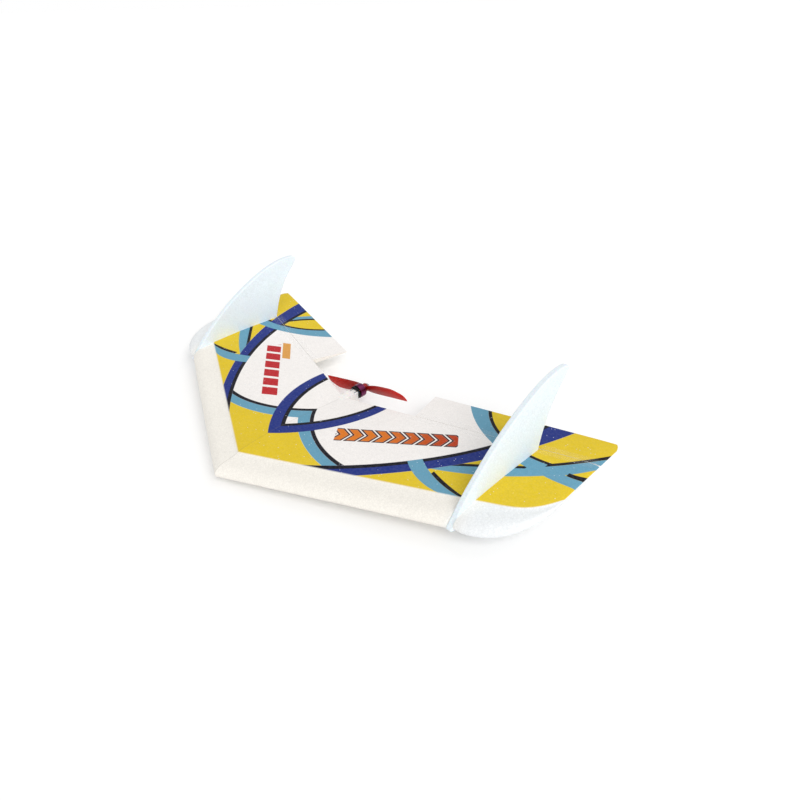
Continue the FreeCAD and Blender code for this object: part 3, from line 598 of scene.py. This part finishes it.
def dress_all():
    dress(["wing_panel", "wingtip", "elevon"], printed_foam())
    dress(["fin"], white_foam("fin_foam", FIN_WHITE))
    dress(["motor_stick"], white_foam("stick_foam", PRINT_WHITE))
    film = clear_tape()
    for side in SIDES:
        hinge_film(side, film)
    dress(["wing_spar"], carbon())
    dress(["spar_joiner", "pushrod", "motor_shaft", "shaft_clip"],
          metal("spring_steel", srgb(190, 190, 195)))
    dress(["servo_case", "servo_lid"], moulded("servo_plastic", srgb(28, 48, 120), 0.3))
    dress(["servo_arm", "control_horn"], moulded("arm_plastic", srgb(238, 238, 234), 0.5))
    dress(["servo_shaft"], metal("servo_shaft_metal", srgb(214, 178, 96), 0.3))
    dress(["servo_arm_screw", "mount_screws"], metal("screw_steel", srgb(160, 160, 166), 0.35))
    dress(["servo_lead"], sleeve("servo_wire", srgb(112, 58, 30)))
    dress(["motor_leads"], sleeve("motor_wire", srgb(22, 22, 24)))
    dress(["motor_mount"], metal("mount_black", srgb(40, 40, 44), 0.45))
    dress(["motor_stator"], laminated_iron())
    dress(["motor_windings"], wound_copper())
    dress(["motor_bearings"], metal("bearing_steel", srgb(200, 200, 205), 0.2))
    dress(["motor_bell"], metal("bell_metal", srgb(122, 52, 92), 0.3, brushed=(1.0, 40.0, 1.0)))
    dress(["motor_magnets", "hatch_magnets", "keeper_discs"],
          metal("magnet_metal", srgb(205, 205, 208), 0.18))
    dress(["propeller"], red_propeller())
    dress(["prop_adapter", "prop_washer", "prop_nut"],
          metal("adapter_metal", srgb(196, 198, 204)))
    dress(["battery_pack"], sleeve("pack_wrap", srgb(30, 74, 160), 0.25))
    dress(["battery_pad"], hook_loop())
    dress(["battery_leads"], sleeve("power_wire", srgb(168, 22, 20)))
    dress(["battery_connector"], moulded("connector_plastic", srgb(232, 226, 208), 0.5))
    dress(["speed_controller"], sleeve("controller_wrap", srgb(30, 30, 34), 0.25))
    dress(["receiver"], moulded("receiver_shell", srgb(34, 34, 38), 0.5))
    dress(["receiver_antenna"], sleeve("aerial_wire", srgb(24, 24, 26)))
    dress(["belly_hatch"], moulded("hatch_plastic", srgb(240, 240, 238), 0.55))


# ---- hinge tape ----
BEND_REACH = 1.2 * MM
BEND_STEPS = 3
FILM_LIFT = 0.12 * MM                         # keeps the film clear of the foam's facets


def hinge_film(side, material):
    """Clear film over one hinge line: the tape's own shape, creased along lines beside the hinge."""
    tape = NODES["hinge_tape_" + side]
    hinge = next(joint for joint in frame["joints"] if joint["name"] == "elevon_%s_hinge" % side)
    pivot = Vector(hinge["pos_m"])
    aft = Vector((0, 0, 1)).cross(Vector(hinge["axis"])).normalized()
    if aft.y < 0:
        aft.negate()
    mesh = tape.data.copy()
    cut = bmesh.new()
    cut.from_mesh(mesh)
    for step in range(-BEND_STEPS, BEND_STEPS + 1):
        place = pivot + aft * (BEND_REACH * step / BEND_STEPS)
        parts = cut.verts[:] + cut.edges[:] + cut.faces[:]
        bmesh.ops.bisect_plane(cut, geom=parts, plane_co=place, plane_no=aft)
    for vert in cut.verts:
        vert.co.z += FILM_LIFT
    cut.to_mesh(mesh)
    cut.free()
    mesh.materials.clear()
    mesh.materials.append(material)
    film = bpy.data.objects.new("hinge_film_" + side, mesh)
    bpy.context.scene.collection.objects.link(film)
    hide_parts(tape.name)
    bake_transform(film)


# ---- stage ----
CAMERA_PLACE = (0.4087, -0.2547, 0.3573)
CAMERA_YAW, CAMERA_PITCH, CAMERA_ROLL = -45.27, -33.97, -1.20     # degrees
CAMERA_LENS, CAMERA_NEAR = 26.99, 0.01
FLOOR_DROP, FLOOR_RADIUS, FLOOR_SIDES = 0.0004, 40.0, 96
FLOOR_GLOW = 0.06                             # keeps the floor pale far from the lamps
HORIZON, CEILING = 0.05, 0.6                  # heights on the sky between which it dims
CEILING_DIM = 0.4
WHITE = (1.0, 1.0, 1.0)


def add_camera():
    data = bpy.data.cameras.new("camera")
    data.lens = CAMERA_LENS
    data.clip_start = CAMERA_NEAR
    camera = bpy.data.objects.new("camera", data)
    bpy.context.scene.collection.objects.link(camera)
    turn = Matrix.Rotation(math.radians(-CAMERA_YAW), 4, "Z")
    turn @= Matrix.Rotation(math.radians(90 + CAMERA_PITCH), 4, "X")
    turn @= Matrix.Rotation(math.radians(CAMERA_ROLL), 4, "Z")
    camera.matrix_world = Matrix.Translation(CAMERA_PLACE) @ turn
    bpy.context.scene.camera = camera


def add_sun(name, place, power, colour, spread):
    """A soft distant lamp that shines from place to the object; spread in degrees."""
    data = bpy.data.lights.new(name, "SUN")
    data.energy = power
    data.color = colour
    data.angle = math.radians(spread)
    lamp = bpy.data.objects.new(name, data)
    bpy.context.scene.collection.objects.link(lamp)
    lamp.location = place
    lamp.rotation_euler = (-Vector(place)).to_track_quat("-Z", "Y").to_euler()


def pale_floor():
    """A nearly white sweep that glows a little."""
    material, tree, shader = new_material("floor", Roughness=0.9, Specular_IOR_Level=0.1,
                                          Emission_Strength=FLOOR_GLOW)
    shader.inputs["Emission Color"].default_value = (*WHITE, 1.0)
    paint(tree, shader, noise(tree, 3.0), srgb(250, 250, 250), srgb(253, 253, 253))
    return material


def studio_walls():
    """White walls all round, and a dimmer ceiling."""
    world = bpy.data.worlds.new("studio")
    world.use_nodes = True
    tree = world.node_tree
    up = split_vector(tree, tree.nodes.new("ShaderNodeTexCoord").outputs["Generated"])["Z"]
    strength = between(tree, ramp(tree, up, HORIZON, CEILING), 1.0, 1.0 - CEILING_DIM)
    sky = tree.nodes["Background"]
    sky.inputs["Color"].default_value = (*WHITE, 1.0)
    feed(tree, sky.inputs["Strength"], strength)
    return world


def add_floor():
    """The floor, just under the lowest point of the part."""
    place = (0, 0, cad_low.z - FLOOR_DROP)
    bpy.ops.mesh.primitive_circle_add(vertices=FLOOR_SIDES, radius=FLOOR_RADIUS,
                                      fill_type="NGON", location=place)
    floor = bpy.context.object
    floor.name = "floor"
    floor.data.materials.append(pale_floor())


def add_stage():
    add_floor()
    bpy.context.scene.world = studio_walls()
    add_sun("key", (1.5, -0.4, 1.5), 1.35, (1.0, 0.99, 0.975), spread=45)
    add_sun("rear", (0.1, 0.75, 0.85), 0.3, WHITE, spread=40)
    view = bpy.context.scene.view_settings
    view.view_transform = "Standard"
    view.look = "None"


dress_all()
add_camera()
add_stage()
